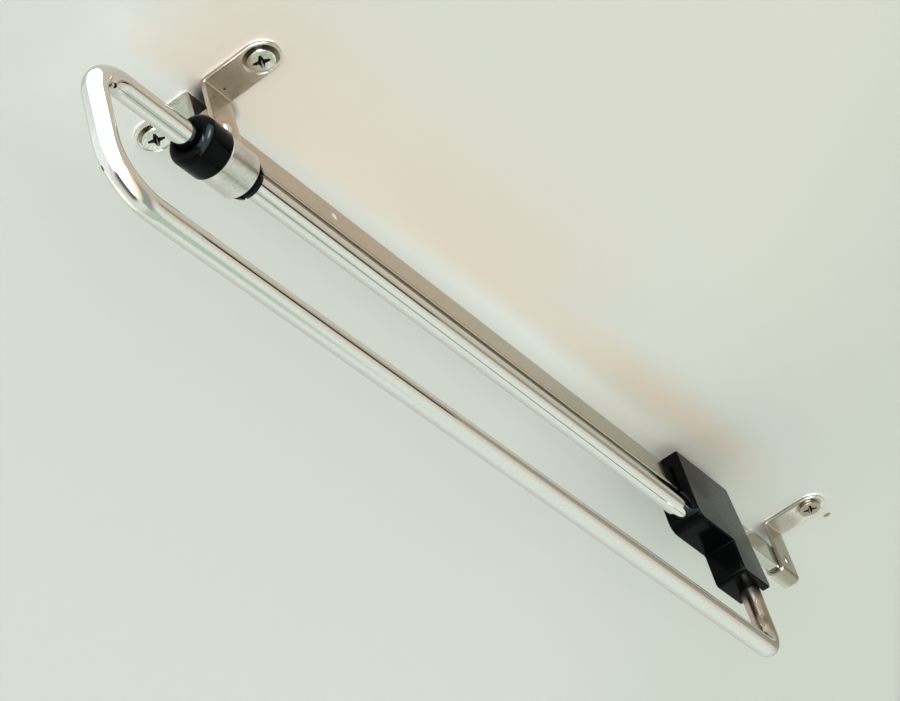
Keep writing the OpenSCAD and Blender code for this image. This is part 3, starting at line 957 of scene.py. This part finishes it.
# Colours of the room in patches of direction, each the product of steps along the axes
ROOM_PATCHES = [
    # Darker floor under the rail's front, to the right
    ((0.43, 0.47, 0.41), [(rise, "y", -0.14, -0.02), (fall, "y", 0.2, 0.4), (rise, "x", 0.12, 0.35),
                          (fall, "z", -0.05, 0.05)]),
    # Pale wall in front, to the left
    ((0.95, 1.03, 0.98), [(fall, "y", -0.05, 0.2), (fall, "x", -0.45, -0.15)]),
    ((1.16, 1.3, 1.32), [(fall, "y", -0.05, 0.2), (fall, "x", -0.45, -0.15), (rise, "z", -0.22, -0.04),
                         (fall, "z", 0.70, 0.745)]),
    ((1.42, 1.52, 1.46), [(fall, "x", -0.95, -0.83), (rise, "y", -0.36, -0.2), (fall, "y", 0.2, 0.35),
                          (rise, "z", -0.6, -0.45), (fall, "z", 0.15, 0.25)]),
    # Dark stand on the floor in front
    ((0.16, 0.14, 0.14), [(rise, "x", -0.75, -0.16), (fall, "x", -0.08, 0.2), (fall, "y", -0.3, -0.1),
                          (fall, "z", -0.5, -0.35)]),
    # Blue and orange edges of the window
    ((0.9, 1.3, 1.75), [(rise, "x", -0.36, -0.22), (fall, "x", -0.12, -0.04), (fall, "y", -0.4, -0.2),
                        (rise, "z", -0.4, -0.25)]),
    ((1.4, 0.98, 0.72), [(rise, "x", 0.6, 0.8), (rise, "y", -0.30, -0.20), (fall, "y", -0.12, -0.03),
                         (rise, "z", -0.6, -0.45), (fall, "z", 0.3, 0.5)])]


def shelf_colour(tree, coords):
    """The shelf's tones by place, in metres: greyer far to the right and at the rear, painted light left of
    the rail, painted warm light right of it, painted shade beside the rail, and painted shade farther right."""
    axes = node(tree, "ShaderNodeSeparateXYZ", {0: coords})
    across, back = axes.outputs["X"], axes.outputs["Y"]
    colour = mix_colour(tree, rise(tree, across, 0.0, 0.08), finish("shelf"), finish("shelf_right"))
    rear = rise(tree, along(tree, coords, (0.8, 1, 0)), 0.06, 0.19)
    colour = mix_colour(tree, rear, colour, finish("shelf_rear"))
    # Painted light: paler left of the rail
    pale = product(tree, rise(tree, across, -0.050, -0.020), fall(tree, across, 0.002, 0.010),
                   rise(tree, back, -0.215, -0.19), fall(tree, back, 0.02, 0.12))
    colour = mix_colour(tree, pale, colour, tuple(min(c * 1.1, 1) for c in finish("shelf")))
    # Painted warm light right of the rail, wider in front
    wider_in_front = product(tree, fall(tree, across, 0.02, 0.065), fall(tree, back, -0.04, 0.03))
    edge = sum_of(tree, "MAXIMUM", fall(tree, across, 0.012, 0.030), wider_in_front)
    warm = product(tree, rise(tree, along(tree, coords, (1, -0.05, 0)), 0.002, 0.012),
                   rise(tree, back, -0.205, -0.175), fall(tree, back, 0.09, 0.15), edge)
    colour = mix_colour(tree, warm, colour, finish("shelf_warm"))
    for place, reach, soft, tone in (
            # Shade between the front webs and beside the slider
            ((-0.5, -156, 0), (4.5, 9.8, 1000), 0.5, (0.12, 0.12, 0.10)),
            ((6, 80, 0), (24, 80, 1000), 0.2, (0.87, 0.835, 0.79)),
            # Brown mark behind the rear screw
            ((20.5, 172.3, 0), (1.7, 1.3, 1000), 0.5, (0.45, 0.31, 0.18))):
        colour = mix_colour(tree, near(tree, coords, place, reach, soft), colour, tone, "MULTIPLY")
    # Painted shade: far to the right it is darker, which only the metal shows
    far_right = rise(tree, along(tree, coords, (1.82, 1, 0)), 0.264, 0.30)
    return mix_colour(tree, far_right, colour, (0.53, 0.53, 0.52), "MULTIPLY")


def shelf_board():
    """A matt board, clear from above, and clear for rays that leave the wings' tops right under it."""
    material, tree, shader = new_material("shelf_board")
    tree.links.new(shelf_colour(tree, object_coords(tree)), shader.inputs["Base Color"])
    shader.inputs["Roughness"].default_value = 0.6
    shader.inputs["Specular IOR Level"].default_value = 0.2
    above = node(tree, "ShaderNodeNewGeometry").outputs["Backfacing"]
    length = node(tree, "ShaderNodeLightPath").outputs["Ray Length"]
    clear = sum_of(tree, "MAXIMUM", above, sum_of(tree, "LESS_THAN", length, 10 * SHELF_HEIGHT * MM))
    glass = node(tree, "ShaderNodeBsdfTransparent")
    mixed = node(tree, "ShaderNodeMixShader", {0: clear, 1: shader.outputs[0], 2: glass.outputs[0]})
    tree.links.new(mixed.outputs[0], tree.nodes["Material Output"].inputs["Surface"])
    return material


def glowing(name, colour):
    """A glowing plain tone that needs no light, for painted reflections."""
    material, tree, _ = new_material(name)
    glow = node(tree, "ShaderNodeEmission", {"Color": (*colour, 1.0)})
    tree.links.new(glow.outputs[0], tree.nodes["Material Output"].inputs["Surface"])
    return material


class RAIL_OT_stage(Operator):
    """Sets up the shelf above the rail, the room's light and the camera"""

    bl_idname = "rail.stage"
    bl_label = "Shelf, light and camera"

    def execute(self, context):
        self.make_shelf()
        self.make_room(context.scene)
        self.make_camera(context.scene)
        return {"FINISHED"}

    def make_shelf(self):
        """A plain panel seen from below, which lets light and views through from above, and painted
        reflections
        that only the metal shows: a glowing side board and two darker glowing gaps under it."""
        shelf = self.flat_piece("shelf_underside", [(x, y, SHELF_HEIGHT) for x, y in SHELF_CORNERS])
        if shelf.data.polygons[0].normal.z > 0:
            shelf.data.flip_normals()
        shelf.data.materials.append(shelf_board())
        for name, x, front, rear, low, high, colour in BOARDS:
            corners = [(x, front, low), (x, rear, low), (x, rear, high), (x, front, high)]
            board = self.flat_piece(name, corners)
            board.data.materials.append(glowing(name, colour))
            board.visible_camera = board.visible_diffuse = board.visible_shadow = False

    def flat_piece(self, name, corners):
        """One flat face, which isn't part of the object."""
        skin = Skin()
        skin.cap(corners)
        piece = skin.object(name)
        return piece

    def make_room(self, scene):
        """The room's light by direction: a pale floor, warm and pale walls, a bright window in front to the
        right with a warm foot, and the dark outline of a stand in front."""
        world = bpy.data.worlds.new("room")
        scene.world = world
        world.use_nodes = True
        tree = world.node_tree
        way = node(tree, "ShaderNodeTexCoord").outputs["Generated"]
        axes = node(tree, "ShaderNodeSeparateXYZ", {0: way})
        x, y, z = axes.outputs["X"], axes.outputs["Y"], axes.outputs["Z"]
        right = rise(tree, x, -0.3, 0.3)
        wall = mix_colour(tree, right, (0.74, 0.83, 0.75), (0.74, 0.68, 0.56))
        edge = mix_colour(tree, right, (0.80, 0.88, 0.82), (0.84, 0.85, 0.75))
        light = mix_colour(tree, rise(tree, z, -0.60, -0.15), (0.96, 1.11, 1.06), edge)
        behind = product(tree, fall(tree, z, -0.77, -0.69), rise(tree, y, 0.0, 0.3))
        light = mix_colour(tree, behind, light, (0.64, 0.79, 0.68))
        light = mix_colour(tree, rise(tree, z, -0.13, -0.08), light, wall)
        axis = {"x": x, "y": y, "z": z}
        for colour, steps in ROOM_PATCHES:
            parts = [step(tree, axis[name], low, high) for step, name, low, high in steps]
            light = mix_colour(tree, product(tree, *parts), light, colour)
        light = mix_colour(tree, self.window(tree, way, x, y, z), light, self.window_light(tree, way, y, z))
        seen = mix_colour(tree, node(tree, "ShaderNodeLightPath").outputs["Is Camera Ray"], light,
                          (0.67, 0.71, 0.64))
        tree.links.new(seen, tree.nodes["Background"].inputs["Color"])

    def window(self, tree, way, x, y, z):
        """1 in the window's directions: right of its left edge, which leans out low down, and in front of the
        plane of its right edge or in its part near the floor."""
        lean = product(tree, fall(tree, z, -0.5, -0.33), 0.27)
        left = rise(tree, sum_of(tree, "SUBTRACT", x, lean), -0.26, -0.06)
        front = fall(tree, along(tree, way, (0.293, 0.806, -0.513)), -0.04, 0.02)
        low = product(tree, fall(tree, y, -0.25, -0.14), fall(tree, z, 0.05, 0.15))
        return product(tree, left, sum_of(tree, "MAXIMUM", front, low))

    def window_light(self, tree, way, y, z):
        """The window's colour: a plain level on matt surfaces, bright sky in reflections, and a warm foot."""
        middle = rise(tree, along(tree, way, (0.62, -0.76, 0.18)), 0.95, 0.995)
        sky = mix_colour(tree, middle, (9.0, 11.0, 12.5), (58.0, 76.0, 91.0))
        mirrored = node(tree, "ShaderNodeLightPath").outputs["Is Glossy Ray"]
        bright = mix_colour(tree, mirrored, (2.2, 2.3, 2.5), sky)
        foot = product(tree, rise(tree, y, -0.45, -0.3), fall(tree, z, -0.1, 0.1))
        return mix_colour(tree, foot, bright, (1.6, 1.42, 1.12))

    def make_camera(self, scene):
        """The photograph's camera: near the floor in front, to the right, looking up and back."""
        data = bpy.data.cameras.new("camera")
        data.lens = 99.382
        data.sensor_width = 36.0
        data.clip_start = 0.01
        camera = bpy.data.objects.new("camera", data)
        camera.matrix_world = Matrix((
            (0.78747484, 0.53050147, 0.31376994, 0.22918155),
            (0.56725064, -0.42469660, -0.70559161, -0.57333180),
            (-0.24106036, 0.73362183, -0.63536518, -0.50046331),
            (0, 0, 0, 1)))
        scene.collection.objects.link(camera)
        scene.camera = camera
        scene.view_settings.view_transform = "Standard"


class RAIL_PT_panel(Panel):
    """Lists the sizes, the colours and the steps"""

    bl_idname = "RAIL_PT_panel"
    bl_label = "Clothes rail"
    bl_space_type = "VIEW_3D"
    bl_region_type = "UI"
    bl_category = "Clothes rail"

    def draw(self, context):
        layout = self.layout
        for group in (context.scene.rail_sizes, context.scene.rail_finish):
            box = layout.box()
            for name in type(group).__annotations__:
                box.prop(group, name)
        for step in STEPS:
            layout.operator(step.bl_idname)


STEPS = (RAIL_OT_rod, RAIL_OT_bar, RAIL_OT_brackets, RAIL_OT_rivets, RAIL_OT_screws, RAIL_OT_bush,
         RAIL_OT_slider, RAIL_OT_stage)
CLASSES = (RailSizes, RailFinish) + STEPS + (RAIL_PT_panel,)


def register():
    for cls in CLASSES:
        bpy.utils.register_class(cls)
    bpy.types.Scene.rail_sizes = PointerProperty(type=RailSizes)
    bpy.types.Scene.rail_finish = PointerProperty(type=RailFinish)


def unregister():
    del bpy.types.Scene.rail_finish
    del bpy.types.Scene.rail_sizes
    for cls in reversed(CLASSES):
        bpy.utils.unregister_class(cls)


def main():
    """Builds every piece."""
    register()
    for step in STEPS:
        group, name = step.bl_idname.split(".")
        getattr(getattr(bpy.ops, group), name)()


if __name__ == "__main__":
    main()
